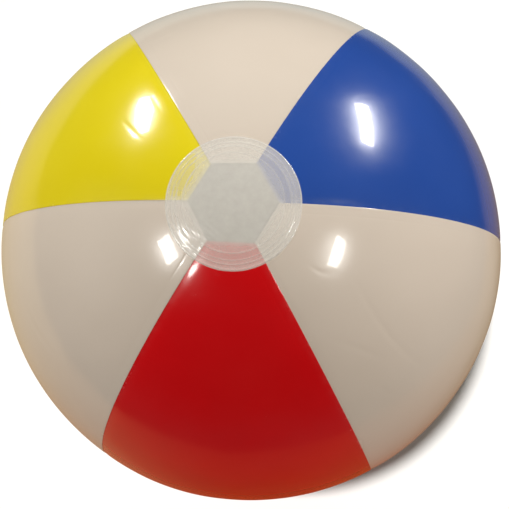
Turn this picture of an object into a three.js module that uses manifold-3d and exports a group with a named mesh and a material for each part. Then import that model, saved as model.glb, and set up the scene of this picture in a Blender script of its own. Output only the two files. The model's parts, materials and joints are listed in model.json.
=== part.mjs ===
// Inflatable beach ball: six gore panels with lapped seams, a clear disc over each pole,
// and a push-in air valve with a non-return flap and a plug on a strap.
// Millimetres, +Z up. The ball stands on its bottom disc, and the origin is the middle of that disc.
import * as THREE from 'three';
import { mergeVertices } from 'three/addons/utils/BufferGeometryUtils.js';
import Module from 'manifold-3d';

const wasm = await Module();
wasm.setup();

// Driving dimensions: ball and panels
const ballRadius = 152.5;       // inflated, to the panels' outer face
const filmThickness = 0.4;
const clearance = 0.3;          // between pieces that lie against each other
const lapWidth = 5;             // how far a panel runs under its neighbour
const lapRamp = 0.8;            // width of the step down into the lap
const cutApothem = 18.5;        // from the axis to the straight cut across a panel's end
const firstRingGap = 6.2;       // from the cut's corners to the first round ring of a panel
const standRadius = 22;         // flat patch that the ball stands on
const rowCount = 22;
const columnCount = 9;

// End discs
const discRadius = 31.7;
const discThickness = 0.5;
const rimWidth = 1.4;
const rimHeight = 0.35;
const weldRingInsets = [8.1, 5, 3];     // raised weld lines, inwards from the disc's edge
const weldRingWidth = 0.9;
const weldRingHeight = 0.2;
const discSegments = 48;

// Air valve. Heights are along its own axis, from the film's outer face, outwards positive
const valveLatitude = -28;
const flangeWidth = 5.3;
const flangeThickness = 0.8;
const stemLength = 14.4;
const stemRadius = 4.5;
const boreRadius = 2.9;
const stemTop = -0.6;
const stemRimLip = 1.1;
const stemRimHeight = 1.6;
const stemRimRound = 0.4;
const bootWall = 0.5;
const bootFootHeight = 2;
const bootLipWidth = 3;
const plugOverhang = 0.4;       // of the plug's head past the stem's rim
const plugHeadHeight = 1.5;
const plugHeadRound = 0.5;
const plugShankLength = 8;
const plugTaper = 0.6;
const flapOverlap = 1.1;        // of the flap past the bore
const flapThickness = 0.6;
const strapWidth = 3.5;
const strapThickness = 0.6;
const strapGap = 0.7;           // each side of the strap, where it comes up through the hole
const strapReach = 6;           // from the hole's edge to the far end of the strap's loop
const strapRise = 2.2;          // height of the strap's upper run over the film
const valveSegments = 32;

// The panels in order round the ball: name, longitude of the seam where it starts, and colour.
// The seams are a few degrees off even spacing, as hand-fed welding leaves them.
const panels = [
  ['panel_red', -122.5, 0xb00a10],
  ['panel_white_right', -60, 0xe9e6df],
  ['panel_blue', 1, 0x14479e],
  ['panel_white_back', 61.5, 0xe9e6df],
  ['panel_yellow', 121.5, 0xe6cf12],
  ['panel_white_left', 178.5, 0xe9e6df],
];
const valvePanel = 'panel_white_right';

// Sizes that follow. A panel's half is the angle from its middle line to its seams.
const halfOf = (index) => {
  const next = index + 1 < panels.length ? panels[index + 1][1] : panels[0][1] + 360;
  return THREE.MathUtils.degToRad(next - panels[index][1]) / 2;
};
const middleOf = (index) => THREE.MathUtils.degToRad(panels[index][1]) + halfOf(index);
const widestHalf = Math.max(...panels.map((_, index) => halfOf(index)));
const discOuterRadius = ballRadius + clearance + discThickness;
const centreHeight = Math.sqrt(discOuterRadius ** 2 - standRadius ** 2);
const cutCorner = cutApothem / Math.cos(widestHalf);
const firstRingAngle = Math.asin((cutCorner + firstRingGap) / ballRadius);
const rowStep = (Math.PI - 2 * firstRingAngle) / rowCount;
// How far a panel's flat facets lie inside the true sphere, at most
const facetSag = ballRadius * (2 - Math.cos(rowStep / 2) - Math.cos(widestHalf / columnCount));
const valveTilt = THREE.MathUtils.degToRad(90 - valveLatitude);
const stemRimRadius = stemRadius + stemRimLip;
const plugHeadRadius = stemRimRadius + plugOverhang;
const holeRadius = plugHeadRadius + 2 * strapGap + strapThickness;
const flangeInner = holeRadius - clearance;
const flangeRadius = flangeInner + flangeWidth;
const flapRadius = boreRadius + flapOverlap;

// ---- solids and cuts ----

function toSolid(geometry) {
  const bare = geometry.clone();
  bare.deleteAttribute('normal');
  bare.deleteAttribute('uv');
  const merged = mergeVertices(bare, 1e-4);
  return new wasm.Manifold(new wasm.Mesh({
    numProp: 3,
    vertProperties: new Float32Array(merged.attributes.position.array),
    triVerts: new Uint32Array(merged.index.array),
  }));
}

function cut(geometry, tool) {
  const mesh = toSolid(geometry).subtract(toSolid(tool)).getMesh();
  const result = new THREE.BufferGeometry();
  result.setAttribute('position', new THREE.BufferAttribute(new Float32Array(mesh.vertProperties), 3));
  result.setIndex(new THREE.BufferAttribute(new Uint32Array(mesh.triVerts), 1));
  result.computeVertexNormals();
  return result;
}

// A piece turned about +Z, from [radius, height] points that run anticlockwise round its section
function turned(points, segments) {
  const profile = points.map(([radius, height]) => new THREE.Vector2(radius, height));
  return new THREE.LatheGeometry(profile, segments).rotateX(Math.PI / 2);
}

// The same for a ring, whose section closes on itself
function turnedRing(points, segments) {
  return turned([...points, points[0]], segments);
}

function named(name, geometry, material) {
  const mesh = new THREE.Mesh(geometry, material);
  mesh.name = name;
  return mesh;
}

// ---- panels ----

// Angle from a panel's middle line, and depth below the outer face, of each column where a row
// has the given radius. The first two columns are the lap that lies under the neighbour.
function columnsOf(half, rowRadius) {
  const under = filmThickness + clearance;
  const rampFoot = -half + clearance / 2 / rowRadius;
  const rampHead = rampFoot + lapRamp / rowRadius;
  const lapLine = half - (lapWidth + clearance) / rowRadius;
  const columns = [
    { turn: -half - lapWidth / rowRadius, depth: under },
    { turn: rampFoot, depth: under },
  ];
  for (let i = 0; i <= columnCount; i++) {
    columns.push({ turn: THREE.MathUtils.lerp(rampHead, lapLine, i / columnCount), depth: 0 });
  }
  columns.push({ turn: half, depth: 0 });
  return columns;
}

// Angle of a panel's straight end cut from the pole. Together the cuts leave a hexagon open round
// it. The lap, past the panel's own half, ends at the corner's distance.
function cutAngle(half, turn) {
  return Math.asin(cutApothem / Math.cos(Math.min(Math.abs(turn), half)) / ballRadius);
}

function rowAngle(row, half, turn) {
  if (row === 0) return cutAngle(half, turn);
  if (row === rowCount + 2) return Math.PI - cutAngle(half, turn);
  return firstRingAngle + rowStep * (row - 1);
}

// The point at an angle from the top pole, flattened where the ball stands
function skinPoint(angle, turn, depth) {
  const radius = ballRadius - depth;
  const lowest = discThickness + clearance + depth;
  const across = radius * Math.sin(angle);
  const height = Math.max(centreHeight + radius * Math.cos(angle), lowest);
  return new THREE.Vector3(across * Math.cos(turn), across * Math.sin(turn), height);
}

// A flat box with a cell for each row and column, bent round the ball. Its middle line is at +X.
function panelGeometry(half) {
  const columnCells = columnCount + 3;
  const rowCells = rowCount + 2;
  const geometry = new THREE.BoxGeometry(columnCells, rowCells, 1, columnCells, rowCells, 1);
  const place = geometry.attributes.position;
  for (let i = 0; i < place.count; i++) {
    const column = Math.round(place.getX(i) + columnCells / 2);
    const row = Math.round(rowCells / 2 - place.getY(i));
    const inner = place.getZ(i) > 0 ? 0 : filmThickness;
    const rowRadius = ballRadius * Math.sin(rowAngle(row, half, 0));
    const { turn, depth } = columnsOf(half, rowRadius)[column];
    const point = skinPoint(rowAngle(row, half, turn), turn, depth + inner);
    place.setXYZ(i, point.x, point.y, point.z);
  }
  geometry.computeVertexNormals();
  return geometry;
}

function valveHoleTool() {
  const length = 4 * flangeRadius;
  return new THREE.CylinderGeometry(holeRadius, holeRadius, length, valveSegments)
    .rotateX(Math.PI / 2)
    .translate(0, 0, ballRadius)
    .rotateY(valveTilt)
    .translate(0, 0, centreHeight);
}

function addPanels(ball) {
  panels.forEach(([name, , color], index) => {
    const whole = panelGeometry(halfOf(index));
    const geometry = name === valvePanel ? cut(whole, valveHoleTool()) : whole;
    const material = new THREE.MeshStandardMaterial({ color, roughness: 0.18, metalness: 0 });
    const panel = named(name, geometry, material);
    panel.rotation.z = middleOf(index);
    ball.add(panel);
  });
}

// ---- end discs ----

// Raised lines on a disc's outer face: the weld rings, and the bead round its rim
const ridges = [
  ...weldRingInsets.map((inset) =>
    ({ radius: discRadius - inset, width: weldRingWidth, height: weldRingHeight })),
  { radius: discRadius - rimWidth / 2, width: rimWidth, height: rimHeight },
];

function ridgeHeight(radius) {
  const heights = ridges.map((ridge) =>
    ridge.height * Math.max(0, 1 - Math.abs(radius - ridge.radius) / (ridge.width / 2)));
  return Math.max(...heights);
}

function discGeometry(side) {
  const faceHeight = (radius, sphereRadius, lowest) => {
    const offset = Math.sqrt(sphereRadius ** 2 - radius ** 2);
    return Math.max(centreHeight + side * offset, lowest);
  };
  const plain = [0, standRadius / 2, standRadius, discRadius];
  const raised = ridges.flatMap(({ radius, width }) => [radius - width / 2, radius, radius + width / 2]);
  const outerRadii = [...new Set([...plain, ...raised])].filter((radius) => radius <= discRadius);
  outerRadii.sort((a, b) => a - b);
  const outer = outerRadii.map((radius) =>
    [radius, faceHeight(radius, discOuterRadius + ridgeHeight(radius), 0)]);
  const inner = plain.map((radius) => [radius, faceHeight(radius, ballRadius + clearance, discThickness)]);
  const [lower, upper] = side > 0 ? [inner, outer] : [outer, inner];
  return turned([...lower, ...upper.reverse()], discSegments);
}

function addDiscs(ball) {
  const material = new THREE.MeshStandardMaterial({
    color: 0xdcdad2, roughness: 0.25, metalness: 0, transparent: true, opacity: 0.6,
  });
  ball.add(named('top_disc', discGeometry(1), material));
  ball.add(named('bottom_disc', discGeometry(-1), material));
}

// ---- air valve, on its own axis ----

// Height of a sphere that lies under the film's facets, at a radius from the valve's axis
function underFilm(radius, depth) {
  const sphere = ballRadius - filmThickness - clearance - facetSag - depth;
  return Math.sqrt(sphere ** 2 - radius ** 2) - ballRadius;
}

function flangeGeometry() {
  return turnedRing([
    [flangeInner, underFilm(flangeInner, flangeThickness)],
    [flangeRadius, underFilm(flangeRadius, flangeThickness)],
    [flangeRadius, underFilm(flangeRadius, 0)],
    [flangeInner, underFilm(flangeInner, 0)],
  ], valveSegments);
}

// A soft cup: a lip under the flange, and a wall that narrows to a foot round the stem
function bootGeometry() {
  const mouth = flangeInner;
  const top = underFilm(mouth, flangeThickness + clearance);
  const foot = stemRadius + clearance;
  const footBottom = stemTop - stemLength + clearance;
  const footTop = footBottom + bootFootHeight;
  const lip = mouth + bootLipWidth;
  const lipTop = underFilm(lip, flangeThickness + clearance);
  return turnedRing([
    [foot, footBottom],
    [foot + bootWall, footBottom],
    [foot + bootWall, footTop],
    [mouth, top - 2 * bootWall],
    [lip, lipTop - bootWall],
    [lip, lipTop],
    [mouth - bootWall, top],
    [foot, footTop],
  ], valveSegments);
}

function stemGeometry() {
  const bottom = stemTop - stemLength;
  const rimUnder = stemTop - stemRimHeight;
  return turnedRing([
    [boreRadius, bottom],
    [stemRadius, bottom],
    [stemRadius, rimUnder],
    [stemRimRadius - stemRimRound, rimUnder],
    [stemRimRadius, rimUnder + stemRimRound],
    [stemRimRadius, stemTop - stemRimRound],
    [stemRimRadius - stemRimRound, stemTop],
    [boreRadius, stemTop],
  ], valveSegments);
}

function plugGeometry() {
  const under = stemTop + clearance;
  const top = under + plugHeadHeight;
  const shank = boreRadius - clearance;
  return turned([
    [0, under - plugShankLength],
    [shank - plugTaper, under - plugShankLength],
    [shank, under - plugShankLength + 2 * plugTaper],
    [shank, under],
    [plugHeadRadius - plugHeadRound, under],
    [plugHeadRadius, under + plugHeadRound],
    [plugHeadRadius, top - plugHeadRound],
    [plugHeadRadius - plugHeadRound, top],
    [0, top],
  ], valveSegments);
}

function flapGeometry() {
  const top = stemTop - stemLength - clearance;
  return new THREE.CylinderGeometry(flapRadius, flapRadius, flapThickness, valveSegments)
    .rotateX(Math.PI / 2)
    .translate(0, 0, top - flapThickness / 2);
}

// The strap runs from the stem's rim out over the film, turns back and ends at the plug's head
function strapLine() {
  const rimMiddle = stemTop - stemRimHeight / 2;
  const headMiddle = stemTop + clearance + plugHeadHeight / 2;
  const endGap = clearance + strapThickness / 4;   // room for the tilt of the strap's ends
  const end = clearance + strapThickness / 2;
  const rise = (plugHeadRadius + holeRadius) / 2;
  const fold = (strapRise - end) / 2;
  const reach = holeRadius + strapReach;
  return new THREE.CatmullRomCurve3([
    [stemRimRadius + endGap, rimMiddle],
    [rise - end, rimMiddle],
    [rise, end - 2 * strapThickness],
    [holeRadius + end, end + clearance],
    [reach - 3 * fold, end],
    [reach - fold, end],
    [reach, end + fold],
    [reach - fold, strapRise],
    [reach - 4 * fold, strapRise],
    [holeRadius, strapRise - end],
    [plugHeadRadius + endGap, headMiddle],
  ].map(([radius, height]) => new THREE.Vector3(radius, height, 0)), false, 'centripetal');
}

function strapGeometry() {
  const line = strapLine();
  const steps = 40;
  const side = (sign) => Array.from({ length: steps + 1 }, (_, i) => {
    const tangent = line.getTangent(i / steps);
    const point = line.getPoint(i / steps);
    const offset = sign * strapThickness / 2;
    return new THREE.Vector2(point.x - tangent.y * offset, point.y + tangent.x * offset);
  });
  const outline = new THREE.Shape([...side(1), ...side(-1).reverse()]);
  return new THREE.ExtrudeGeometry(outline, { depth: strapWidth, bevelEnabled: false, steps: 1 })
    .translate(0, 0, -strapWidth / 2)
    .rotateX(Math.PI / 2);
}

// The valve's axis is +Z here, and +X runs down the ball towards its foot
function addValve(ball) {
  const turn = new THREE.Group();
  turn.position.z = centreHeight;
  turn.rotation.z = middleOf(panels.findIndex(([name]) => name === valvePanel));
  const tilt = new THREE.Group();
  tilt.rotation.y = valveTilt;
  const seat = new THREE.Group();
  seat.position.z = ballRadius;
  const soft = new THREE.MeshStandardMaterial({ color: 0xf0eee8, roughness: 0.35, metalness: 0 });
  const clear = new THREE.MeshStandardMaterial({ color: 0xe2e4e2, roughness: 0.3, metalness: 0 });
  seat.add(
    named('valve_flange', flangeGeometry(), soft),
    named('valve_boot', bootGeometry(), soft),
    named('valve_stem', stemGeometry(), soft),
    named('valve_flap', flapGeometry(), clear),
    named('valve_plug', plugGeometry(), soft),
    named('valve_strap', strapGeometry(), soft),
  );
  tilt.add(seat);
  turn.add(tilt);
  ball.add(turn);
}

const ball = new THREE.Group();
addPanels(ball);
addDiscs(ball);
addValve(ball);

export default ball;
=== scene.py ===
import json
import math
import bpy
import numpy as np
from mathutils import Matrix, Quaternion, Vector


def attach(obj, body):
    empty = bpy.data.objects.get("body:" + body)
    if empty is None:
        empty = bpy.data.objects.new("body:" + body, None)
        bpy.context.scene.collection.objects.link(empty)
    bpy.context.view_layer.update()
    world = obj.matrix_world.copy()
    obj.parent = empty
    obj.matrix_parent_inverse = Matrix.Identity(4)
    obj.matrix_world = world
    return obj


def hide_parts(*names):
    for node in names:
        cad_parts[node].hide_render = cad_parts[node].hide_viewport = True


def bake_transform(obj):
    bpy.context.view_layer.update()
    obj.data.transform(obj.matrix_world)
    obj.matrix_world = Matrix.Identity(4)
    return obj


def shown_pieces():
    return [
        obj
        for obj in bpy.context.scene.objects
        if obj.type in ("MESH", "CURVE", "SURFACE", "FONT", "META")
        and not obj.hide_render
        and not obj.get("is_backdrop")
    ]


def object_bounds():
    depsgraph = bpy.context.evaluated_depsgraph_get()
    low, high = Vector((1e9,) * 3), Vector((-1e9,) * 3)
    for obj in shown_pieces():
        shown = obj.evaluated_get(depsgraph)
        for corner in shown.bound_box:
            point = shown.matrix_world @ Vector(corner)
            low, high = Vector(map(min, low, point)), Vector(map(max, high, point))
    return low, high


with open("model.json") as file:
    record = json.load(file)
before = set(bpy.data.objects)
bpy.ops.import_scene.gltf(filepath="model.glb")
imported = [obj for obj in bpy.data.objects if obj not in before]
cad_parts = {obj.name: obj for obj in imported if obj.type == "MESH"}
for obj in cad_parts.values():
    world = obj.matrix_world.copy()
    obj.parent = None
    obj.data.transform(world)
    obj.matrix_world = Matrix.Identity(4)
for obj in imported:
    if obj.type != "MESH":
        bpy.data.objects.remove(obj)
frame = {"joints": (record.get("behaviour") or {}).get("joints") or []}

# An inflated beach ball: six lapped film panels, a milky disc welded over each pole and a
# push-in air valve. Metres, +Z up. The ball stands on its bottom disc at the origin.

mm = 0.001
cadLow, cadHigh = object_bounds()       # the CAD model's box, before anything is added

ball = dict(
    radius=(cadHigh[0] - cadLow[0]) / 2,
    discLift=0.8 * mm,          # a disc's outer face over the panels' outer face
    film=0.18 * mm,             # thickness of a panel
    cutApothem=18.5 * mm,       # from the axis to the straight cut across a panel's end
    lap=5 * mm,                 # how far a panel runs under its neighbour
    lapDrop=0.21 * mm,          # how far the lap lies under the neighbour's outer face
    lapRamp=4.5 * mm,           # the film bends down to the lap over this width
    standHeight=0.8 * mm,       # of the panels' flat patch over the floor
    standRound=0.5 * mm,        # softness of that patch's rim
)
ballRadius = ball['radius']
ballCentre = np.array([0, 0, cadHigh[2] - ballRadius - ball['discLift']])


def unitAt(angle, turn):
    # direction at an angle from the top pole and a longitude
    return np.stack([np.sin(angle) * np.cos(turn), np.sin(angle) * np.sin(turn),
                     np.cos(angle) + 0 * turn], axis=-1)


def ease(t):
    t = np.clip(t, 0, 1)
    return t * t * (3 - 2 * t)


def waves(points, length, seed, count=9):
    # smooth unevenness with about this wave length, mostly between -1.5 and 1.5
    draw = np.random.default_rng(seed)
    total = np.zeros(points.shape[:-1])
    for _ in range(count):
        way = draw.normal(size=3)
        way /= np.linalg.norm(way)
        pitch = length * draw.uniform(0.75, 1.35)
        total += np.sin(points @ way * (2 * math.pi / pitch) + draw.uniform(0, 2 * math.pi))
    return total * math.sqrt(2 / count)


panels = {      # longitude of the seam where each panel starts and ends, and its film
    'panel_red': dict(start=-122.5, end=-60, film='red'),
    'panel_white_right': dict(start=-60, end=1, film='white'),
    'panel_blue': dict(start=1, end=61.5, film='blue'),
    'panel_white_back': dict(start=61.5, end=121.5, film='white'),
    'panel_yellow': dict(start=121.5, end=178.5, film='yellow'),
    'panel_white_left': dict(start=178.5, end=237.5, film='white'),
}

seam = dict(
    valleyDepth=0.12 * mm,      # the weld is stiffer than the film, so the seams lie lower
    valleyWidth=7 * mm,
    puckerHeight=0.018 * mm,
    puckerLength=9 * mm,
    puckerFade=6.5 * mm,
    puckerFrom=26 * mm,         # no puckers nearer to a pole than this
    puckerRise=20 * mm,
    weldLine=4.6 * mm,          # inner edge of the weld, from the seam
    weldLineDepth=0.03 * mm,
    weldLineWidth=0.45 * mm,
    wearWidth=2.2 * mm,         # of the rubbed band along a seam
    seed=11,
)


def seamGap(directions):
    # signed distance to the nearest seam, the seam's number, and the distance down from the pole
    angle = np.arccos(np.clip(directions[..., 2], -1, 1))
    turn = np.arctan2(directions[..., 1], directions[..., 0])
    nearest = np.full(angle.shape, 1.0)
    which = np.zeros(angle.shape)
    for number, panel in enumerate(panels.values()):
        gap = (turn - math.radians(panel['start']) + math.pi) % (2 * math.pi) - math.pi
        across = ballRadius * np.sin(angle) * gap
        closer = np.abs(across) < np.abs(nearest)
        nearest = np.where(closer, across, nearest)
        which = np.where(closer, number, which)
    return nearest, which, ballRadius * angle


def seamRelief(directions):
    across, which, along = seamGap(directions)
    valley = -seam['valleyDepth'] * np.exp(-(across / seam['valleyWidth']) ** 2)
    spots = np.stack([along, which * 0.37, 0 * along], axis=-1)
    pucker = waves(spots, seam['puckerLength'], seam['seed'])
    strength = 0.6 + 0.4 * waves(spots, 6 * seam['puckerLength'], seam['seed'] + 1)
    fromPole = np.minimum(along, math.pi * ballRadius - along)
    strength = np.clip(strength, 0.1, 1.4) * ease((fromPole - seam['puckerFrom'])
                                                  / seam['puckerRise'])
    pucker = pucker * strength * seam['puckerHeight'] * np.exp(-np.abs(across) / seam['puckerFade'])
    line = (across + seam['weldLine']) / seam['weldLineWidth']
    weld = -seam['weldLineDepth'] * np.exp(-line ** 2)
    return valley + pucker + weld


skin = dict(        # unevenness of the blown-up film
    swell=0.09 * mm,
    swellLength=85 * mm,
    ripple=0.026 * mm,
    rippleLength=23 * mm,
    seed=23,
)

# Lines left where the film was folded in its pack. Each is a shallow arc: its middle (longitude
# and latitude) and the way it runs (degrees east of north), then in millimetres its length, how
# far its ends bend to the right of that way, and its width and depth
creases = [
    dict(at=(144, 65), way=10, length=18, bow=0, width=1.3, depth=0.075),
    dict(at=(-37.5, 51), way=5, length=76, bow=6, width=1.7, depth=0.14),
    dict(at=(-46.5, 54.5), way=-25, length=37, bow=-1, width=1.6, depth=0.12),
    dict(at=(-48, 42), way=-15, length=15, bow=0, width=1.4, depth=0.16),
    dict(at=(-149, 38), way=75, length=33, bow=-2, width=2.0, depth=0.14),
    dict(at=(-153, 40), way=70, length=18, bow=-1, width=1.5, depth=0.08),
    dict(at=(-150.5, 53.5), way=0, length=12, bow=-1, width=1.3, depth=0.09),
    dict(at=(-154.5, 65), way=5, length=9, bow=0, width=1.2, depth=0.07),
    dict(at=(114, 47), way=-90, length=9, bow=0, width=1.6, depth=0.09),
    dict(at=(-36, 70), way=-30, length=12, bow=2, width=1.1, depth=0.08),
    dict(at=(44.5, 56.5), way=20, length=12, bow=-1.5, width=1.0, depth=0.035),
    dict(at=(34.5, 62.5), way=25, length=9, bow=-0.5, width=0.9, depth=0.03),
    dict(at=(37, 35), way=55, length=23, bow=-3, width=1.4, depth=0.07),
    dict(at=(33.5, 41), way=50, length=26, bow=-3, width=1.4, depth=0.07),
    dict(at=(128.5, 65), way=5, length=16, bow=0, width=1.0, depth=0.035),
    dict(at=(27, 3.5), way=-30, length=58, bow=-5, width=1.9, depth=0.12),
    dict(at=(87, 0), way=5, length=107, bow=16, width=2.0, depth=0.13),
    dict(at=(-97, -20), way=5, length=62, bow=9, width=1.8, depth=0.12),
    dict(at=(157, -14), way=-10, length=62, bow=-11, width=1.9, depth=0.12),
    dict(at=(-20, 1), way=10, length=60, bow=10, width=1.7, depth=0.10),
    dict(at=(-158, -16), way=-15, length=57, bow=-12, width=1.8, depth=0.11),
]


def creasePath(at, way, length, bow, pieces=6):
    longitude, latitude = map(math.radians, at)
    middle = unitAt(math.pi / 2 - latitude, np.array(longitude))
    east = np.array([-math.sin(longitude), math.cos(longitude), 0])
    north = np.cross(middle, east)
    ahead = east * math.sin(math.radians(way)) + north * math.cos(math.radians(way))
    right = np.cross(ahead, middle)
    t = np.linspace(-1, 1, pieces + 1)[:, None]
    path = middle + (ahead * t * length / 2 + right * bow * t ** 2) * mm / ballRadius
    return path / np.linalg.norm(path, axis=1, keepdims=True)


def creaseRelief(directions):
    total = np.zeros(directions.shape[:-1])
    for crease in creases:
        path = creasePath(crease['at'], crease['way'], crease['length'], crease['bow'])
        steps = [float(np.linalg.norm(b - a)) for a, b in zip(path, path[1:])]
        gap = np.full(total.shape, 1.0)
        share = np.zeros(total.shape)
        done = 0
        for a, b, step in zip(path, path[1:], steps):
            t = np.clip((directions - a) @ (b - a) / step ** 2, 0, 1)
            here = np.linalg.norm(directions - a - t[..., None] * (b - a), axis=-1) * ballRadius
            share = np.where(here < gap, (done + t * step) / sum(steps), share)
            gap = np.minimum(gap, here)
            done += step
        square = (gap / (crease['width'] * mm)) ** 2
        fade = np.sin(math.pi * np.clip(share, 0.03, 0.97)) ** 0.6
        total -= crease['depth'] * mm * fade * (1 - 0.9 * square) * np.exp(-square)
    return total


def skinRelief(directions):
    points = directions * ballRadius
    swell = skin['swell'] * waves(points, skin['swellLength'], skin['seed'])
    ripple = skin['ripple'] * waves(points, skin['rippleLength'], skin['seed'] + 1, 16)
    return seamRelief(directions) + creaseRelief(directions) + swell + ripple


def standing(points, lowest, soft=ball['standRound']):
    # flattens what would reach under the height that it rests at
    height = points[..., 2]
    points[..., 2] = (height + lowest + np.sqrt((height - lowest) ** 2 + soft ** 2)) / 2
    return points


def onBall(directions, offset, under):
    # points this far off the true sphere; under is how deep they lie inside the film's outer face
    points = ballCentre + directions * (ballRadius + offset)[..., None]
    return standing(points, ball['standHeight'] + under)


def meshObject(name, points, faces, sharp=38):
    mesh = bpy.data.meshes.new(name)
    mesh.from_pydata([tuple(p) for p in points], [], faces)
    mesh.polygons.foreach_set('use_smooth', [True] * len(mesh.polygons))
    mesh.set_sharp_from_angle(angle=math.radians(sharp))
    obj = bpy.data.objects.new(name, mesh)
    bpy.context.scene.collection.objects.link(obj)
    return obj


def paint(obj, name, values):
    # a number on each vertex, which a material can read by this name
    layer = obj.data.attributes.new(name, 'FLOAT', 'POINT')
    layer.data.foreach_set('value', np.asarray(values, dtype=np.float32).ravel())


def shell(name, outer, inner, keep=None):
    # a closed shell between two grids of points; keep says which cells are there
    rows, columns = outer.shape[:2]
    number = np.arange(rows * columns).reshape(rows, columns)
    cells = np.stack([number[:-1, :-1], number[1:, :-1], number[1:, 1:], number[:-1, 1:]], axis=-1)
    cells = cells.reshape(-1, 4) if keep is None else cells[keep]
    edges = np.concatenate([cells[:, [k, (k + 1) % 4]] for k in range(4)])
    sortedEdges, first, uses = np.unique(np.sort(edges, axis=1), axis=0, return_index=True,
                                         return_counts=True)
    rim = edges[first[uses == 1]]
    size = rows * columns
    walls = np.stack([rim[:, 1], rim[:, 0], rim[:, 0] + size, rim[:, 1] + size], axis=-1)
    faces = np.concatenate([cells, cells[:, ::-1] + size, walls])
    used, renumbered = np.unique(faces, return_inverse=True)
    points = np.concatenate([outer.reshape(-1, 3), inner.reshape(-1, 3)])[used]
    return meshObject(name, points, renumbered.reshape(-1, 4).tolist()), used


def lathed(name, grid, axisEnds=(False, False), ring=False, sharp=38):
    # a turned piece from rows of points round its axis; the rows run anticlockwise round its section
    segments = grid.shape[1]
    points = []
    rows = []
    for k, row in enumerate(grid):
        alone = (k == 0 and axisEnds[0]) or (k == len(grid) - 1 and axisEnds[1])
        start = len(points)
        points.extend([row.mean(axis=0)] if alone else row)
        rows.append([start] * segments if alone else list(range(start, start + segments)))
    faces = []
    for a, b in list(zip(rows, rows[1:])) + ([(rows[-1], rows[0])] if ring else []):
        for j in range(segments):
            after = (j + 1) % segments
            corners = [a[j], a[after], b[after], b[j]]
            faces.append([v for i, v in enumerate(corners) if v not in corners[:i]])
    return meshObject(name, points, faces, sharp)


def newMaterial(name):
    material = bpy.data.materials.new(name)
    material.use_nodes = True
    tree = material.node_tree
    tree.nodes.clear()
    shader = tree.nodes.new('ShaderNodeBsdfPrincipled')
    output = tree.nodes.new('ShaderNodeOutputMaterial')
    tree.links.new(shader.outputs['BSDF'], output.inputs['Surface'])
    return material, tree, shader, output


def setSockets(node, **values):
    for name, value in values.items():
        node.inputs[name.replace('_', ' ')].default_value = value


def noiseAt(tree, where, scale, detail=2.0, roughness=0.5, distortion=0.0):
    node = tree.nodes.new('ShaderNodeTexNoise')
    setSockets(node, Scale=scale, Detail=detail, Roughness=roughness, Distortion=distortion)
    tree.links.new(where, node.inputs['Vector'])
    return node.outputs['Fac']


def ranged(tree, value, fromLow, fromHigh, toLow, toHigh):
    node = tree.nodes.new('ShaderNodeMapRange')
    for name, number in zip(('From Min', 'From Max', 'To Min', 'To Max'),
                            (fromLow, fromHigh, toLow, toHigh)):
        node.inputs[name].default_value = number
    tree.links.new(value, node.inputs['Value'])
    return node.outputs['Result']


def combined(tree, operation, a, b):
    node = tree.nodes.new('ShaderNodeMath')
    node.operation = operation
    for socket, value in zip(node.inputs, (a, b)):
        if isinstance(value, (int, float)):
            socket.default_value = value
        else:
            tree.links.new(value, socket)
    return node.outputs['Value']


def blended(tree, factor, a, b):
    # mix of two colours; each is a socket or a fixed colour
    node = tree.nodes.new('ShaderNodeMix')
    node.data_type = 'RGBA'
    tree.links.new(factor, node.inputs['Factor'])
    for socket, value in ((node.inputs[6], a), (node.inputs[7], b)):
        if isinstance(value, tuple):
            socket.default_value = (*value, 1)
        else:
            tree.links.new(value, socket)
    return node.outputs[2]


def bumped(tree, height, depth, before=None):
    node = tree.nodes.new('ShaderNodeBump')
    setSockets(node, Strength=1.0, Distance=depth)
    tree.links.new(height, node.inputs['Height'])
    if before is not None:
        tree.links.new(before, node.inputs['Normal'])
    return node.outputs['Normal']


def objectPlace(tree):
    return tree.nodes.new('ShaderNodeTexCoord').outputs['Object']


def painted(tree, name):
    node = tree.nodes.new('ShaderNodeAttribute')
    node.attribute_name = name
    return node.outputs['Fac']


films = {       # colour, a deeper tone of it, and the share of light that passes through
    'red': dict(colour=(0.60, 0.0035, 0.006), deep=(0.55, 0.003, 0.005), through=0.12),
    'white': dict(colour=(0.665, 0.580, 0.495), deep=(0.640, 0.555, 0.470), through=0.22),
    'blue': dict(colour=(0.019, 0.066, 0.305), deep=(0.016, 0.058, 0.275), through=0.12),
    'yellow': dict(colour=(0.725, 0.60, 0.010), deep=(0.70, 0.57, 0.007), through=0.18),
}


filmFinish = dict(
    cloudScale=16,              # noise scales are per metre
    grainScale=900,
    grainShare=0.22,
    rubScale=210,
    rubShare=0.10,              # how much paler the film is where the seams are rubbed
    rubRoughness=0.06,
    hazeScale=26,
    haze=(0.17, 0.25),          # roughness of clean and of hazy film
    scuffScale=120,
    scuff=0.06,
    peelScale=480,
    peelDepth=0.006 * mm,
    dimpleScale=95,
    dimpleDepth=0.02 * mm,
    coat=0.5,
    coatRoughness=0.05,
    sheen=0.012,
)


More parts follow.
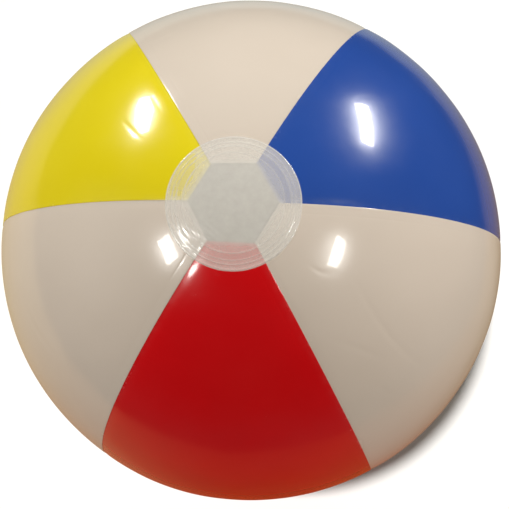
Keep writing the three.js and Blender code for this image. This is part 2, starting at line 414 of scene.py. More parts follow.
def filmMaterial(name, colour, deep, through):
    # glossy PVC film: cloudy pigment, faint haze and scuffs, fine orange peel, rubbed seams
    look = filmFinish
    material, tree, shader, output = newMaterial(name)
    where = objectPlace(tree)
    cloud = ranged(tree, noiseAt(tree, where, look['cloudScale'], 3), 0.32, 0.68, 0, 1)
    grain = ranged(tree, noiseAt(tree, where, look['grainScale'], 2), 0.35, 0.65, 0, look['grainShare'])
    tone = blended(tree, cloud, colour, deep)
    tone = blended(tree, grain, tone, deep)
    rubbed = ranged(tree, noiseAt(tree, where, look['rubScale'], 3, 0.6), 0.42, 0.62, 0.25, 1)
    rubbed = combined(tree, 'MULTIPLY', rubbed, painted(tree, 'seamWear'))
    worn = tuple(0.62 * c + 0.10 for c in colour)
    tone = blended(tree, combined(tree, 'MULTIPLY', rubbed, look['rubShare']), tone, worn)
    tree.links.new(tone, shader.inputs['Base Color'])
    haze = ranged(tree, noiseAt(tree, where, look['hazeScale'], 4, 0.6), 0.3, 0.7, *look['haze'])
    scuff = noiseAt(tree, where, look['scuffScale'], 5, 0.7, 1.5)
    scuff = ranged(tree, scuff, 0.62, 0.75, 0, look['scuff'])
    rough = combined(tree, 'ADD', combined(tree, 'ADD', haze, scuff),
                     combined(tree, 'MULTIPLY', rubbed, look['rubRoughness']))
    tree.links.new(rough, shader.inputs['Roughness'])
    peel = bumped(tree, noiseAt(tree, where, look['peelScale'], 2), look['peelDepth'])
    peel = bumped(tree, noiseAt(tree, where, look['dimpleScale'], 3), look['dimpleDepth'], peel)
    tree.links.new(peel, shader.inputs['Normal'])
    tree.links.new(peel, shader.inputs['Coat Normal'])
    setSockets(shader, IOR=1.5, Coat_Weight=look['coat'], Coat_Roughness=look['coatRoughness'],
               Coat_IOR=1.45, Sheen_Weight=look['sheen'], Sheen_Roughness=0.4, Sheen_Tint=(*colour, 1))
    lit = tree.nodes.new('ShaderNodeBsdfTranslucent')
    tree.links.new(tone, lit.inputs['Color'])
    mix = tree.nodes.new('ShaderNodeMixShader')
    mix.inputs['Fac'].default_value = through
    tree.links.new(shader.outputs['BSDF'], mix.inputs[1])
    tree.links.new(lit.outputs['BSDF'], mix.inputs[2])
    tree.links.new(mix.outputs['Shader'], output.inputs['Surface'])
    return material


milkyFinish = dict(
    colour=(0.570, 0.546, 0.500),
    deep=(0.555, 0.531, 0.485),
    cloudScale=75,              # noise scales are per metre
    streakScale=240,
    streak=(0.94, 1.06),        # unevenness of the milk
    hazeScale=140,
    haze=(0.12, 0.22),          # roughness
    peelScale=300,
    peelDepth=0.004 * mm,
    specular=0.75,
    coat=0.8,
    coatRoughness=0.04,
    sheen=0.04,
)


def milkyMaterial(name, look):
    # clear film clouded by heat: the painted number says how much of what is behind is hidden
    material, tree, shader, _ = newMaterial(name)
    where = objectPlace(tree)
    cloud = ranged(tree, noiseAt(tree, where, look['cloudScale'], 3), 0.3, 0.7, 0, 1)
    tree.links.new(blended(tree, cloud, look['colour'], look['deep']), shader.inputs['Base Color'])
    streak = ranged(tree, noiseAt(tree, where, look['streakScale'], 3, 0.6), 0.3, 0.7, *look['streak'])
    milk = combined(tree, 'MULTIPLY', painted(tree, 'milk'), streak)
    tree.links.new(milk, shader.inputs['Alpha'])
    haze = ranged(tree, noiseAt(tree, where, look['hazeScale'], 4, 0.6), 0.3, 0.7, *look['haze'])
    tree.links.new(haze, shader.inputs['Roughness'])
    peel = bumped(tree, noiseAt(tree, where, look['peelScale'], 2), look['peelDepth'])
    tree.links.new(peel, shader.inputs['Normal'])
    tree.links.new(peel, shader.inputs['Coat Normal'])
    setSockets(shader, IOR=1.5, Specular_IOR_Level=look['specular'], Coat_Weight=look['coat'],
               Coat_Roughness=look['coatRoughness'], Coat_IOR=1.6, Sheen_Weight=look['sheen'],
               Sheen_Roughness=0.4)
    return material


softLooks = dict(       # moulded soft PVC: colour, a deeper tone of it, and roughness
    valveSoft=dict(colour=(0.78, 0.75, 0.69), deep=(0.72, 0.69, 0.63), rough=0.36),
    valveClear=dict(colour=(0.62, 0.64, 0.61), deep=(0.56, 0.58, 0.55), rough=0.28),
)


def softMaterial(name, colour, deep, rough):
    # moulded soft PVC of the valve: matt, with flow marks and handling haze
    material, tree, shader, _ = newMaterial(name)
    where = objectPlace(tree)
    cloud = ranged(tree, noiseAt(tree, where, 130, 4), 0.3, 0.7, 0, 1)
    tree.links.new(blended(tree, cloud, colour, deep), shader.inputs['Base Color'])
    haze = ranged(tree, noiseAt(tree, where, 500, 3, 0.6), 0.3, 0.7, rough - 0.06, rough + 0.08)
    tree.links.new(haze, shader.inputs['Roughness'])
    grain = bumped(tree, noiseAt(tree, where, 1500, 3), 0.012 * mm)
    grain = bumped(tree, noiseAt(tree, where, 260, 2), 0.03 * mm, grain)
    tree.links.new(grain, shader.inputs['Normal'])
    setSockets(shader, IOR=1.5, Coat_Weight=0.15, Coat_Roughness=0.2, Sheen_Weight=0.08,
               Sheen_Roughness=0.5, Subsurface_Weight=0.25, Subsurface_Scale=1.2 * mm,
               Subsurface_Radius=(1.0, 0.8, 0.6))
    return material


filmLooks = {name: filmMaterial(name + 'Film', **look) for name, look in films.items()}
milky = milkyMaterial('milkyDisc', milkyFinish)
softWhite = softMaterial('valveSoft', **softLooks['valveSoft'])
softClear = softMaterial('valveClear', **softLooks['valveClear'])
print('materials made')


def finished(obj, material, body, node):
    # the finish, body, CAD node and material slot of a piece that rides on one body
    obj.data.materials.append(material)
    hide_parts(node)
    if body:
        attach(obj, body)
    return obj


pull = next(joint for joint in frame['joints'] if joint['name'] == 'stem_pull')
valveOut = np.array(pull['axis']) / np.linalg.norm(pull['axis'])
valveDown = np.array([valveOut[0] * valveOut[2], valveOut[1] * valveOut[2], valveOut[2] ** 2 - 1])
valveDown /= np.linalg.norm(valveDown)
valveSide = np.cross(valveOut, valveDown)
valveSeat = ballCentre + valveOut * ballRadius
valve = dict(
    weldRings=(9.6, 11.0, 12.5),    # embossed round the hole where the flange is welded
    weldRingHeight=0.11 * mm,
    weldRingWidth=0.42 * mm,
    puckers=17,                     # short folds that run out from the weld
    puckerHeight=0.10 * mm,
    # Distances from the axis of the rings of cells round the hole
    rings=[8.0, 8.3, 8.8, 9.2, 9.6, 10.0, 10.5, 11.0, 11.5, 12.0, 12.5, 13.0, 14.0],
    edgeDip=0.18 * mm,              # the film dips this much at the hole's edge
    cells=4,                        # the hole takes out this many cells each way
    rowPitch=3.4,                   # millimetres between the rings of cells further out
    calm=22,                        # the panel's own grid is back to normal this many cells out
)


def inValve(points):
    # from the valve's own axes (down the ball, across, outwards), in metres, to the row frame
    points = np.asarray(points, dtype=float)
    return (valveSeat + points[..., :1] * valveDown + points[..., 1:2] * valveSide
            + points[..., 2:] * valveOut)


def valveRelief(directions):
    side = directions @ valveSide
    down = directions @ valveDown
    away = np.hypot(side, down) * ballRadius / mm
    away = np.where(directions @ valveOut > 0, away, 999)
    bearing = np.arctan2(side, down)
    total = np.zeros(away.shape)
    for ring in valve['weldRings']:
        total += valve['weldRingHeight'] * np.exp(-((away - ring) / (valve['weldRingWidth'] / mm)) ** 2)
    folds = np.sin(valve['puckers'] * bearing + 1.3 * np.sin(3 * bearing + 1))
    fade = np.maximum(away - 13.5, 0) / (4 + 2 * np.sin(5 * bearing))
    reach = ease((away - 12.8) / 1.5) * np.exp(-fade)
    total += valve['puckerHeight'] * folds * reach
    return total - valve['edgeDip'] * ease((8.9 - away) / 0.9)


def roundTheHole(directions, row, column):
    # bends the panel's grid into rings round the valve's hole, and leaves out the hole's cells
    rows, columns = directions.shape[:2]
    di = np.arange(rows)[:, None] - row + np.zeros((1, columns))
    dj = np.arange(columns)[None, :] - column + np.zeros((rows, 1))
    ring = np.maximum(np.abs(di), np.abs(dj))
    safe = np.maximum(ring, 1)
    quarter = math.pi / 4
    bearing = np.where(np.abs(di) >= np.abs(dj),
                       np.where(di > 0, dj / safe * quarter, math.pi - dj / safe * quarter),
                       np.where(dj > 0, 2 * quarter - di / safe * quarter,
                                -2 * quarter + di / safe * quarter))
    first = valve['cells']
    last = first + len(valve['rings']) - 1
    known = np.interp(ring, np.arange(first, last + 1), valve['rings'])
    far = (valve['rowPitch'] * np.maximum(ring - last, 0) + known) * mm
    lean = np.arcsin(np.clip(far / ballRadius, 0, 1))
    target = (valveOut * np.cos(lean)[..., None]
              + (valveDown * np.cos(bearing)[..., None] + valveSide * np.sin(bearing)[..., None])
              * np.sin(lean)[..., None])
    share = ease((ring - last) / (valve['calm'] - last))[..., None]
    bent = target * (1 - share) + directions * share
    bent /= np.linalg.norm(bent, axis=-1, keepdims=True)
    corner = np.maximum(np.maximum(ring[:-1, :-1], ring[1:, 1:]),
                        np.maximum(ring[:-1, 1:], ring[1:, :-1]))
    return bent, corner > first


panelGrid = dict(
    rowStep=2.0 * mm,
    columns=63,             # between the two edge bands
    lapOffsets=[-5.0, -3.4, -1.8, -0.5, 0.12, 0.4, 0.8, 1.3, 1.9, 2.6, 3.4, 4.6, 6.2],
    edgeOffsets=[6.2, 5.6, 5.2, 4.9, 4.6, 4.3, 4.0, 3.3, 2.4, 1.6, 0.95, 0.45, 0.16, 0.0],
    edgeRound=[0.01, 0.03, 0.09],       # how the last three edge points drop, in millimetres
    lapFlat=0.3 * mm,       # the lap's lower part reaches this far past the seam
    bendShare=0.045,        # the straight cut turns into round rows over this share of the length
)


def panelGridOf(start, end):
    half = math.radians(end - start) / 2
    middle = math.radians(start + end) / 2
    first = math.asin(ball['cutApothem'] / ballRadius)
    rows = 2 * round((math.pi / 2 - first) * ballRadius / panelGrid['rowStep']) + 1
    share = np.linspace(0, 1, rows)[:, None]
    ringAngle = first + (math.pi - 2 * first) * share
    ringRadius = ballRadius * np.sin(ringAngle)
    left = -half + np.array([panelGrid['lapOffsets']]) * mm / ringRadius
    right = half - np.array([panelGrid['edgeOffsets']]) * mm / ringRadius
    t = np.linspace(0, 1, panelGrid['columns'] + 2)[None, 1:-1]
    turn = np.concatenate([left, left[:, -1:] * (1 - t) + right[:, :1] * t, right], axis=1)
    cut = np.arcsin(ball['cutApothem'] / np.cos(np.minimum(np.abs(turn), half)) / ballRadius) - first
    bend = np.clip(1 - share / panelGrid['bendShare'], 0, 1) ** 2
    angle = ringAngle + cut * bend - cut * bend[::-1]
    fromSeam = (turn + half) * ringRadius
    drop = ball['lapDrop'] * ease(1 - fromSeam / ball['lapRamp'])
    drop = np.where(fromSeam < panelGrid['lapFlat'], ball['lapDrop'], drop)
    return unitAt(angle, turn + middle), drop


def makePanel(name, start, end, film):
    directions, drop = panelGridOf(start, end)
    keep = None
    if name == 'panel_white_right':
        valveAngle = math.acos(valveOut[2])
        angles = np.arccos(directions[:, directions.shape[1] // 2, 2])
        row = int(np.argmin(np.abs(angles - valveAngle)))
        middle = unitAt(np.array(valveAngle), np.array(math.atan2(valveOut[1], valveOut[0])))
        column = int(np.argmax(directions[row] @ middle))
        directions, keep = roundTheHole(directions, row, column)
    offset = skinRelief(directions) - drop
    if keep is not None:
        offset += valveRelief(directions)
    rounding = np.zeros(drop.shape)
    rounding[:, -3:] = np.array(panelGrid['edgeRound']) * mm
    outer = onBall(directions, offset - rounding, drop + rounding)
    inner = onBall(directions, offset - ball['film'], drop + ball['film'])
    obj, used = shell(name + '_film', outer, inner, keep)
    across = np.abs(seamGap(directions)[0])
    wear = np.exp(-(across / seam['wearWidth']) ** 2).ravel()
    paint(obj, 'seamWear', np.concatenate([wear, 0 * wear])[used])
    finished(obj, filmLooks[film], 'ball', name)
    span = math.radians(end - start)
    length = ballRadius * (math.pi - 2 * math.asin(ball['cutApothem'] / ballRadius))
    area = 2 * ballRadius ** 2 * span * math.cos(math.asin(ball['cutApothem'] / ballRadius))
    area += length * ball['lap']


for panelName, panel in panels.items():
    makePanel(panelName, **panel)


disc = dict(
    radius=31.7,                # millimetres, like the rest of these
    thickness=0.42,
    gap=0.08,                   # over the panels
    rings=(23.6, 26.7, 28.7),   # raised weld lines
    ringHeight=(0.07, 0.07, 0.12),
    ringWidth=(0.42, 0.40, 0.30),
    rim=31.0,                   # middle of the rounded bead at the edge
    rimHeight=0.24,
    rimWidth=0.62,
    rimRound=0.22,              # how far the outer face falls at the very edge
    seamRidge=0.16,             # the disc rides up where it crosses a seam's step
    seamRidgeWidth=0.7,
    crinkle=0.075,              # folds across the weld on one side
    crinkleAt=-134,             # longitude of their middle, degrees
    crinkleSpread=21,
    milk=0.41,                  # share of what is behind that each face hides
    milkOverHole=0.62,
    milkAtRim=0.16,
    softEdge=3.6,               # the milk changes over this width at the hole's edge
    unevenness=((0.02, 15), (0.006, 5)),    # height and length of its waves
    hidden=0.35,                # share of the relief that the inner face has
    dipShare=0.6,               # share of the seams' relief that the disc follows
    segments=288,
    seed=41,
    # Rings of the mesh, closer together under the weld lines and the rim
    radii=[0, 0.6, 1.4, 2.4, 3.6, 5, 6.5, 8, 9.5, 11, *np.arange(12.2, 22.6, 0.65),
           *np.arange(22.7, 31.2, 0.21), 31.3, 31.48, 31.62],
)


def discRelief(radius, turn, amount):
    # height over the plain disc, in millimetres
    total = np.zeros(radius.shape)
    for ring, height, width in zip(disc['rings'], disc['ringHeight'], disc['ringWidth']):
        total += height * np.exp(-((radius - ring) / width) ** 2)
    total += disc['rimHeight'] * np.exp(-((radius - disc['rim']) / disc['rimWidth']) ** 2)
    for panel in panels.values():
        gap = (turn - math.radians(panel['start']) + math.pi) % (2 * math.pi) - math.pi
        across = gap * radius
        ridge = np.exp(-(across / disc['seamRidgeWidth']) ** 2)
        total += disc['seamRidge'] * ridge * ease((radius - 19.5) / 2.5) * ease((31.4 - radius) / 1.2)
    turned = (turn - math.radians(disc['crinkleAt']) + math.pi) % (2 * math.pi) - math.pi
    window = np.exp(-(turned / math.radians(disc['crinkleSpread'])) ** 2)
    window = window * ease((radius - 13) / 4) * ease((31 - radius) / 1.5)
    points = np.stack([radius * np.cos(turn), radius * np.sin(turn), 0 * radius], axis=-1)
    wobble = waves(points, 16, disc['seed'])
    total += amount * disc['crinkle'] * window * np.sin(2 * math.pi * (radius + 0.5 * wobble) / 2.6)
    for number, (height, length) in enumerate(disc['unevenness'], 1):
        total += height * waves(points, length, disc['seed'] + number)
    return total


def discMilk(radius, turn):
    # how much each face hides: more over the hole, on the rings and at the rim
    depth = np.full(radius.shape, 99.0)
    for panel in panels.values():
        middle = math.radians(panel['start'] + panel['end']) / 2
        depth = np.minimum(depth, ball['cutApothem'] / mm - radius * np.cos(turn - middle))
    milk = disc['milk'] + (disc['milkOverHole'] - disc['milk']) * ease(depth / disc['softEdge'] + 0.62)
    band = ease((radius - disc['rings'][0]) / 0.5) * ease((disc['rings'][1] - radius) / 0.5)
    milk = milk - 0.05 * band
    for ring, width in zip(disc['rings'], disc['ringWidth']):
        milk = milk + 0.05 * np.exp(-((radius - ring) / width) ** 2)
    return milk + disc['milkAtRim'] * np.exp(-((radius - 31.4) / 0.35) ** 2)


def makeDisc(name, side, node):
    lower = [(r, 0.0) for r in disc['radii']]
    edge = [(disc['radius'], 0.25), (disc['radius'], 0.55)]
    upper = [(r, 1.0) for r in disc['radii'][::-1]]
    profile = np.array(lower + edge + upper)
    radius = np.repeat(profile[:, :1], disc['segments'], axis=1)
    layer = np.repeat(profile[:, 1:], disc['segments'], axis=1)
    turn = np.linspace(0, 2 * math.pi, disc['segments'], endpoint=False)[None, :] + 0 * radius
    relief = discRelief(radius, turn, 1.0 if side > 0 else 0.5)
    relief = relief * (disc['hidden'] + (1 - disc['hidden']) * layer)
    lift = disc['gap'] + layer * disc['thickness'] + relief
    lift -= disc['rimRound'] * layer * ease((radius - 31.2) / 0.5)
    angle = np.arcsin(radius * mm / ballRadius)
    seamDip = disc['dipShare'] * seamRelief(unitAt(angle, turn)) * ease((radius - 20) / 3)
    directions = unitAt(angle if side > 0 else math.pi - angle, turn)
    points = ballCentre + directions * (ballRadius + lift * mm + seamDip)[..., None]
    if side < 0:
        rest = ball['standHeight'] - 0.2 * mm - layer * disc['thickness'] * mm
        points = standing(points, np.maximum(rest, 0.0))
        points = points[::-1]
        radius, turn = radius[::-1], turn[::-1]
    obj = lathed(name, points, axisEnds=(True, True))
    milk = discMilk(radius, turn)
    rows = [milk[0, :1]] + list(milk[1:-1]) + [milk[-1, :1]]
    paint(obj, 'milk', np.concatenate(rows))
    finished(obj, milky, 'ball', node)
    obj.visible_shadow = False      # the milk lets nearly all the light on to the panels
    obj.visible_diffuse = False
    print(name, len(obj.data.polygons), 'faces')


makeDisc('top_disc_film', 1, 'top_disc')
makeDisc('bottom_disc_film', -1, 'bottom_disc')


def rounded(corners, steps=3):
    # a section whose corners are rounded; each is (distance from the axis, height, round), millimetres
    points = []
    count = len(corners)
    for k, (r, h, radius) in enumerate(corners):
        here = np.array([r, h])
        before = np.array(corners[k - 1][:2])
        after = np.array(corners[(k + 1) % count][:2])
        if radius == 0:
            points.append(here)
            continue
        a = here + (before - here) / np.linalg.norm(before - here) * radius
        b = here + (after - here) / np.linalg.norm(after - here) * radius
        for t in np.linspace(0, 1, steps + 1):
            points.append(a * (1 - t) ** 2 + here * 2 * t * (1 - t) + b * t ** 2)
    return np.array(points)


def turnedPiece(name, section, axisEnds=(False, False), ring=True, segments=96):
    turn = np.linspace(0, 2 * math.pi, segments, endpoint=False)[None, :]
    r = section[:, :1] * mm + 0 * turn
    h = section[:, 1:] * mm + 0 * turn
    grid = np.stack([r * np.cos(turn), r * np.sin(turn), h], axis=-1)
    return lathed(name, inValve(grid), axisEnds, ring)


def underFilm(r, depth):
    # height of a sphere under the film at this distance from the valve's axis, millimetres
    return math.sqrt((ballRadius / mm - depth) ** 2 - r ** 2) - ballRadius / mm


flange = dict(inner=7.75, outer=12.9, top=1.0, thickness=0.8)
flangeSection = rounded([
    (flange['inner'], underFilm(flange['inner'], flange['top'] + flange['thickness']), 0.2),
    (10.3, underFilm(10.3, flange['top'] + flange['thickness']), 0),
    (flange['outer'], underFilm(flange['outer'], flange['top'] + flange['thickness']), 0.2),
    (flange['outer'], underFilm(flange['outer'], flange['top']), 0.2),
    (10.3, underFilm(10.3, flange['top']), 0),
    (flange['inner'], underFilm(flange['inner'], flange['top']), 0.3),
])
flangePiece = turnedPiece('valve_flange_ring', flangeSection)
finished(flangePiece, softWhite, 'ball', 'valve_flange')

bootSection = rounded([
    (4.85, -14.6, 0.15), (5.35, -14.6, 0.2), (5.4, -12.9, 0.8), (6.3, -9.6, 1.0), (6.05, -7.4, 1.0),
    (7.1, -5.2, 0.9), (7.55, -3.1, 0.5), (10.4, -3.1, 0.25), (10.4, -2.6, 0.2),
    (7.0, -2.45, 0.6), (6.55, -5.3, 0.9), (5.5, -7.4, 1.0), (5.75, -9.7, 1.0), (4.85, -12.8, 0.6),
], 4)
bootPiece = turnedPiece('valve_boot_cup', bootSection)
finished(bootPiece, softWhite, None, 'valve_boot')
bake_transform(bootPiece)

stemSection = rounded([
    (2.95, -15.0, 0.2), (4.5, -15.0, 0.3), (4.5, -2.25, 0.15), (5.55, -2.2, 0.4), (5.6, -0.6, 0.4),
    (4.2, -0.6, 0.2), (4.1, -0.75, 0.1), (3.3, -0.75, 0.1), (2.95, -1.0, 0.2),
])
stemPiece = turnedPiece('valve_stem_tube', stemSection)
finished(stemPiece, softWhite, 'stem', 'valve_stem')

plugSection = rounded([
    (0.001, -8.3, 0), (1.9, -8.3, 0.4), (2.6, -7.2, 0.3), (2.6, -5.4, 0.1), (2.45, -5.2, 0.1),
    (2.45, -4.4, 0.1), (2.6, -4.2, 0.1), (2.6, -0.3, 0.15), (5.95, -0.3, 0.35), (5.95, 1.2, 0.5),
    (4.9, 1.2, 0.3), (4.4, 0.75, 0.3), (1.9, 0.72, 0.3), (1.5, 1.0, 0.25), (0.001, 1.02, 0),
])
plugPiece = turnedPiece('valve_plug_stopper', plugSection, axisEnds=(True, True), ring=False)
finished(plugPiece, softWhite, 'plug', 'valve_plug')

flapSection = rounded([
    (0.001, -15.9, 0), (3.2, -15.9, 0.1), (3.9, -15.8, 0.15), (3.95, -15.35, 0.15), (2.4, -15.32, 0.1),
    (2.2, -15.42, 0.1), (0.001, -15.42, 0),
])
flapPiece = turnedPiece('valve_flap_disc', flapSection, axisEnds=(True, True), ring=False)
finished(flapPiece, softClear, 'flap', 'valve_flap')

strap = dict(
    width=3.5,                  # millimetres, like the rest of these
    thickness=0.55,
    rounding=0.22,              # of its four edges
    necking=0.22,               # share of the width that it loses at the fold
    neckLength=2.2,
    # Middle line (distance from the axis, height): from the stem's rim, out, and back to the plug
    line=[(5.2, -1.4), (6.4, -1.4), (7.0, -0.6), (8.6, 0.9), (11.6, 0.6), (13.2, 0.6), (14.0, 1.4),
          (13.2, 2.2), (10.8, 2.2), (8.0, 1.6), (6.3, 0.62), (5.6, 0.45)],
    steps=90,
)


def smoothLine(points, steps):
    # even points along a smooth line through the given ones
    points = np.array(points, dtype=float)
    knots = np.concatenate([[0], np.cumsum(np.linalg.norm(np.diff(points, axis=0), axis=1) ** 0.5)])
    padded = np.vstack([2 * points[0] - points[1], points, 2 * points[-1] - points[-2]])
    fine = []
    for k in range(len(points) - 1):
        p0, p1, p2, p3 = padded[k:k + 4]
        d = knots[k + 1] - knots[k]
        d0 = knots[k] - knots[k - 1] if k else d
        d2 = knots[k + 2] - knots[k + 1] if k + 2 < len(points) else d
        m1 = ((p1 - p0) / d0 - (p2 - p0) / (d0 + d) + (p2 - p1) / d) * d
        m2 = ((p2 - p1) / d - (p3 - p1) / (d + d2) + (p3 - p2) / d2) * d
        for t in np.linspace(0, 1, 24, endpoint=False):
            fine.append((2 * t ** 3 - 3 * t ** 2 + 1) * p1 + (t ** 3 - 2 * t ** 2 + t) * m1
                        + (3 * t ** 2 - 2 * t ** 3) * p2 + (t ** 3 - t ** 2) * m2)
    fine = np.array(fine + [points[-1]])
    gone = np.concatenate([[0], np.cumsum(np.linalg.norm(np.diff(fine, axis=0), axis=1))])
    even = np.linspace(0, gone[-1], steps)
    return np.stack([np.interp(even, gone, fine[:, 0]), np.interp(even, gone, fine[:, 1])], 1), even


def makeStrap():
    line, along = smoothLine(strap['line'], strap['steps'])
    tangent = np.gradient(line, axis=0)
    tangent /= np.linalg.norm(tangent, axis=1, keepdims=True)
    normal = np.stack([-tangent[:, 1], tangent[:, 0]], 1)
    corner = np.linspace(0, math.pi / 2, 4)
    halfWidth, halfThick, soft = strap['width'] / 2, strap['thickness'] / 2, strap['rounding']
    ring = []
    for k, (sx, sy) in enumerate([(1, 1), (-1, 1), (-1, -1), (1, -1)]):
        for a in corner + k * math.pi / 2:
            ring.append((sx * (halfWidth - soft) + soft * math.cos(a),
                         sy * (halfThick - soft) + soft * math.sin(a)))
    ring = np.array(ring)
    fromFold = (along - along[-1] / 2) / strap['neckLength']
    neck = 1 - strap['necking'] * np.exp(-fromFold ** 2)
    grid = np.zeros((len(line), len(ring), 3))
    grid[..., 0] = line[:, :1] + normal[:, :1] * ring[None, :, 1]
    grid[..., 1] = ring[None, :, 0] * neck[:, None]
    grid[..., 2] = line[:, 1:] + normal[:, 1:] * ring[None, :, 1]
    count, sides = grid.shape[:2]
    number = np.arange(count * sides).reshape(count, sides)
    faces = []
    for k in range(count - 1):
        for j in range(sides):
            after = (j + 1) % sides
            faces.append([number[k, j], number[k + 1, j], number[k + 1, after], number[k, after]])
    faces += [list(number[0]), list(number[-1][::-1])]
    straight = np.stack([np.repeat(along, sides), np.zeros(count * sides), np.zeros(count * sides)], 1)
    obj = meshObject('valve_strap_band', straight * mm, [[int(v) for v in face] for face in faces])
    finished(obj, softWhite, None, 'valve_strap')
    # The bend is shared out along the strap laid straight, so that it stays even round the fold
    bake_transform(obj)
    obj.data.vertices.foreach_set('co', inValve(grid.reshape(-1, 3) * mm).ravel())
    obj.data.update()
    obj.data.set_sharp_from_angle(angle=math.radians(38))


makeStrap()
print('valve made')


floor = dict(radius=7.0, sides=96, colour=(0.93, 0.925, 0.91), shade=(0.90, 0.895, 0.88))


def makeFloor():
    sides, radius = floor['sides'], floor['radius']
    turn = np.linspace(0, 2 * math.pi, sides, endpoint=False)
    points = [(0, 0, 0)] + [(radius * math.cos(a), radius * math.sin(a), 0) for a in turn]
    faces = [[0, k + 1, (k + 1) % sides + 1] for k in range(sides)]
    obj = meshObject('paleFloor', points, faces)
    material, tree, shader, output = newMaterial('paleFloorPaint')
    cloud = ranged(tree, noiseAt(tree, objectPlace(tree), 3, 3), 0.3, 0.7, 0, 1)
    tree.links.new(blended(tree, cloud, floor['colour'], floor['shade']), shader.inputs['Base Color'])
    setSockets(shader, Roughness=0.7, Specular_IOR_Level=0.2)
    obj.data.materials.append(material)
    obj.visible_glossy = False      # the ball mirrors the warm table round it instead
    obj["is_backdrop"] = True


makeFloor()

# What the gloss mirrors below the horizon: a table's warm colours towards each side
tableGlow = dict(
    height=-0.02,
    sides=96,
    rings=40,
    margin=1.12,        # the card is this much larger than its reach
    fade=0.2,           # share of the card over which it dims towards its edge
    reach=dict(right=0.45, back=0.45, left=1.1, front=1.2),
    bearing=dict(right=0, back=90, left=180, front=-90),
    colour=dict(right=(0.30, 0.18, 0.06), back=(0.42, 0.48, 0.48), left=(0.68, 0.50, 0.25),
                front=(0.46, 0.07, 0.015)),
)


def makeTableGlow():
    turn = np.linspace(0, 2 * math.pi, tableGlow['sides'], endpoint=False)[None, :]
    share = np.linspace(0, 1, tableGlow['rings'])[:, None] + 0 * turn
    weights = {}
    for side, bearing in tableGlow['bearing'].items():
        weights[side] = np.clip(np.cos(turn - math.radians(bearing)), 0, 1) ** 2
    reach = sum(weights[side] * tableGlow['reach'][side] for side in weights)
    radius = share * reach * tableGlow['margin']
    points = np.stack([radius * np.cos(turn), radius * np.sin(turn),
                       0 * radius + tableGlow['height']], axis=-1)
    obj = lathed('tableGlow', points, axisEnds=(True, False))
    edge = ease((1 - share) / tableGlow['fade'])
    glow = sum(weights[side][..., None] * np.array(tableGlow['colour'][side]) for side in weights)
    glow = glow * edge[..., None]
    rows = np.concatenate([glow[0, :1], glow[1:].reshape(-1, 3)])
    layer = obj.data.attributes.new('glow', 'FLOAT_COLOR', 'POINT')
    layer.data.foreach_set('color', np.concatenate([rows, np.ones((len(rows), 1))], 1).ravel())
    material = bpy.data.materials.new('tableGlowLight')
    material.use_nodes = True
    tree = material.node_tree
    tree.nodes.clear()
    emission = tree.nodes.new('ShaderNodeEmission')
    output = tree.nodes.new('ShaderNodeOutputMaterial')
    colour = tree.nodes.new('ShaderNodeAttribute')
    colour.attribute_name = 'glow'
    tree.links.new(colour.outputs['Color'], emission.inputs['Color'])
    tree.links.new(emission.outputs['Emission'], output.inputs['Surface'])
    material.cycles.emission_sampling = 'NONE'
    obj.data.materials.append(material)
    obj.visible_camera = False
    obj.visible_diffuse = False
    obj.visible_shadow = False
    obj.visible_transmission = False
    obj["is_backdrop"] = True


makeTableGlow()

lights = {      # bearing and elevation from the ball in degrees, distance, size and watts
    'lampBackLeft': dict(bearing=131.5, up=23.4, away=1.6, size=(0.15, 0.46), roll=143, watts=13,
                         colour=(1.0, 0.98, 0.93), mirrored=True),
    'lampBackRight': dict(bearing=45.9, up=20.9, away=1.6, size=(0.15, 0.50), roll=-135, watts=17,
                          colour=(1.0, 0.98, 0.96), mirrored=True),
    'lampLeft': dict(bearing=-163.1, up=60.5, away=1.5, size=(0.135, 0.30), roll=102, watts=6,
                     colour=(1.0, 0.98, 0.94), mirrored=True),
    'lampRight': dict(bearing=-9.7, up=53.4, away=1.5, size=(0.115, 0.28), roll=-101, watts=4.6,
                      colour=(1.0, 0.98, 0.93), mirrored=True),
    'fillBack': dict(bearing=90, up=30, away=2.4, size=(1.6, 1.2), watts=13.7,
                     colour=(0.88, 1.0, 1.0), mirrored=False),
    'fillLeft': dict(bearing=180, up=25, away=2.4, size=(1.6, 1.2), watts=16.3,
                     colour=(1.0, 0.985, 0.965), mirrored=False),
    'fillRight': dict(bearing=0, up=25, away=2.4, size=(1.6, 1.2), watts=17.2,
                      colour=(1.0, 0.935, 0.87), mirrored=False),
    'fillFront': dict(bearing=-90, up=25, away=2.4, size=(1.6, 1.2), watts=1.8,
                      colour=(1.0, 0.55, 0.25), mirrored=False),
}
floorSun = dict(bearing=150, up=78.4, spread=4, strength=3.45, colour=(1.0, 0.99, 0.97))
onFloor = bpy.data.collections.new('litFloor')
onFloor.objects.link(bpy.data.objects['paleFloor'])
onBallOnly = bpy.data.collections.new('litBall')
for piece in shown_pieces():
    onBallOnly.objects.link(piece)


def towards(bearing, up):
    b, e = math.radians(bearing), math.radians(up)
    return Vector((math.cos(e) * math.cos(b), math.cos(e) * math.sin(b), math.sin(e)))


def addLight(name, bearing, up, away, size, watts, colour, mirrored, roll=0):
    light = bpy.data.lights.new(name, 'AREA')
    light.shape = 'RECTANGLE'
    light.size, light.size_y = size
    light.energy = watts
    light.color = colour
    obj = bpy.data.objects.new(name, light)
    bpy.context.scene.collection.objects.link(obj)
    out = towards(bearing, up)
    obj.location = Vector(ballCentre) + out * away
    turned = out.to_track_quat('Z', 'Y') @ Quaternion((0, 0, 1), math.radians(roll))
    obj.rotation_euler = turned.to_euler()
    obj.visible_camera = False
    obj.visible_glossy = mirrored
    obj.light_linking.receiver_collection = onBallOnly


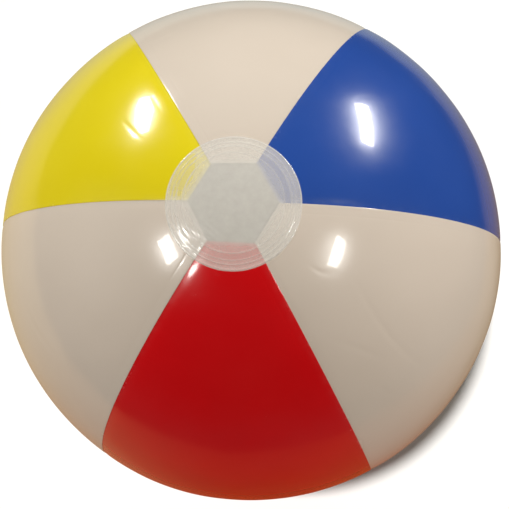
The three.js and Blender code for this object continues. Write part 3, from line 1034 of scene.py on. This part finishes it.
def addFloorSun():
    # lights only the floor, and throws the ball's shadow on it
    light = bpy.data.lights.new('floorSun', 'SUN')
    light.energy = floorSun['strength']
    light.color = floorSun['colour']
    light.angle = math.radians(floorSun['spread'])
    obj = bpy.data.objects.new('floorSun', light)
    bpy.context.scene.collection.objects.link(obj)
    out = towards(floorSun['bearing'], floorSun['up'])
    obj.rotation_euler = out.to_track_quat('Z', 'Y').to_euler()
    obj.visible_glossy = False
    obj.light_linking.receiver_collection = onFloor


for lightName, light in lights.items():
    addLight(lightName, **light)
addFloorSun()

room = dict(
    colour=(1.0, 0.94, 0.84),           # light that comes from all round
    strength=0.125,
    backdrop=(1.0, 0.995, 0.985),       # what is seen behind the floor's edge
    backdropStrength=0.97,
)
world = bpy.data.worlds.new('paleRoom')
bpy.context.scene.world = world
world.use_nodes = True
background = world.node_tree.nodes['Background']
background.inputs['Color'].default_value = (*room['colour'], 1)
background.inputs['Strength'].default_value = room['strength']
world.cycles_visibility.glossy = False      # the room's dark parts are what the gloss mirrors
backdrop = world.node_tree.nodes.new('ShaderNodeBackground')
backdrop.inputs['Color'].default_value = (*room['backdrop'], 1)
backdrop.inputs['Strength'].default_value = room['backdropStrength']
rays = world.node_tree.nodes.new('ShaderNodeLightPath')
either = world.node_tree.nodes.new('ShaderNodeMixShader')
worldLinks = world.node_tree.links
worldLinks.new(rays.outputs['Is Camera Ray'], either.inputs['Fac'])
worldLinks.new(background.outputs['Background'], either.inputs[1])
worldLinks.new(backdrop.outputs['Background'], either.inputs[2])
worldLinks.new(either.outputs['Shader'], world.node_tree.nodes['World Output'].inputs['Surface'])

view = dict(
    away=3.5,                   # from the ball's centre, in ball radii
    lens=59.3,                  # millimetres, as is the sensor's width
    sensor=36,
    lean=(-0.055, 0.146),       # the ball's axis, towards the right and the top of the view
    turn=-1.4,                  # degrees round that axis
    shift=(0.0065, -0.0079),
)
pole = Vector((*view['lean'], math.sqrt(1 - view['lean'][0] ** 2 - view['lean'][1] ** 2)))
flatX = Vector((0, 1, 0)).cross(pole).normalized()
flatY = pole.cross(flatX)
cosTurn, sinTurn = math.cos(math.radians(view['turn'])), math.sin(math.radians(view['turn']))
axes = Matrix((flatX * cosTurn + flatY * sinTurn, flatY * cosTurn - flatX * sinTurn, pole))
lens = bpy.data.cameras.new('camera')
lens.lens = view['lens']
lens.sensor_width = view['sensor']
lens.shift_x, lens.shift_y = view['shift']
camera = bpy.data.objects.new('camera', lens)
bpy.context.scene.collection.objects.link(camera)
# The rows of axes are the ball's X, Y and Z as the camera sees them
backwards = Vector((axes[0][2], axes[1][2], axes[2][2]))
camera.matrix_world = (Matrix.Translation(Vector(ballCentre) + backwards * view['away'] * ballRadius)
                       @ axes.to_4x4())
bpy.context.scene.camera = camera
bpy.context.scene.view_settings.view_transform = 'Standard'
print('floor, lights and camera made')
